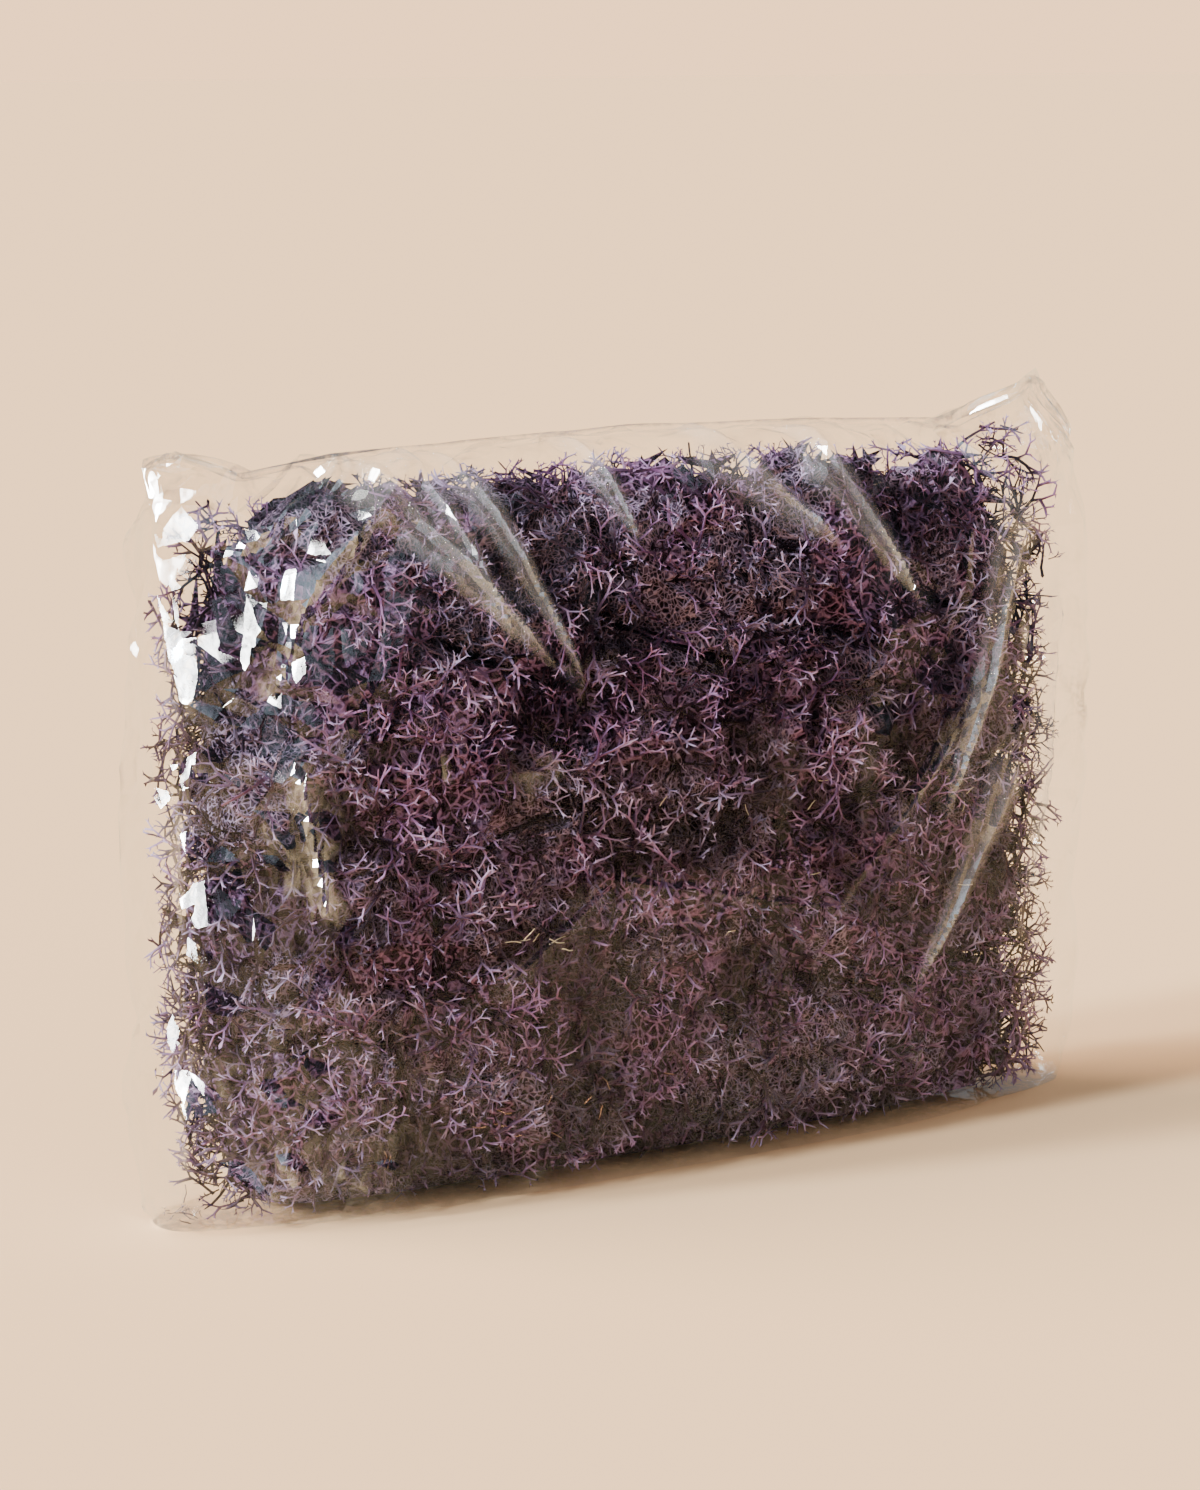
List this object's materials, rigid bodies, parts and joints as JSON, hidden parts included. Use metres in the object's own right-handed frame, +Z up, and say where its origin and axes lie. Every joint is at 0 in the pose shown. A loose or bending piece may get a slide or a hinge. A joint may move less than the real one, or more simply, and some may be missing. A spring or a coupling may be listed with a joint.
{
  "type": "pack of reindeer moss",
  "caption": "Tufts of dyed reindeer moss packed side by side in a clear film pillow bag that stands on its long lower edge.",
  "frame": {"origin": "middle of the flat foot that the pack stands on", "axes": "+X along the pack's length, +Y to its back, +Z up"},
  "size_m": [0.396, 0.112, 0.2837],
  "materials": {
    "dyed_moss": "matt, dry lichen dyed mauve, plum in its depths and pale lilac at its tips",
    "clear_film": "glossy, clear, crinkled film"
  },
  "bodies": {
    "root": {"film_bag": "clear_film", "moss_front_00": "dyed_moss", "moss_front_01": "dyed_moss", "moss_front_02": "dyed_moss", "moss_front_03": "dyed_moss", "moss_front_04": "dyed_moss", "moss_front_05": "dyed_moss", "moss_front_06": "dyed_moss", "moss_front_07": "dyed_moss", "moss_front_08": "dyed_moss", "moss_front_09": "dyed_moss", "moss_front_10": "dyed_moss", "moss_front_11": "dyed_moss", "moss_front_12": "dyed_moss", "moss_front_13": "dyed_moss", "moss_front_14": "dyed_moss", "moss_front_15": "dyed_moss", "moss_front_16": "dyed_moss", "moss_front_17": "dyed_moss", "moss_front_18": "dyed_moss", "moss_front_19": "dyed_moss", "moss_back_00": "dyed_moss", "moss_back_01": "dyed_moss", "moss_back_02": "dyed_moss", "moss_back_03": "dyed_moss", "moss_back_04": "dyed_moss", "moss_back_05": "dyed_moss", "moss_back_06": "dyed_moss", "moss_back_07": "dyed_moss", "moss_back_08": "dyed_moss", "moss_back_09": "dyed_moss", "moss_back_10": "dyed_moss", "moss_back_11": "dyed_moss"}
  },
  "joints": []
}
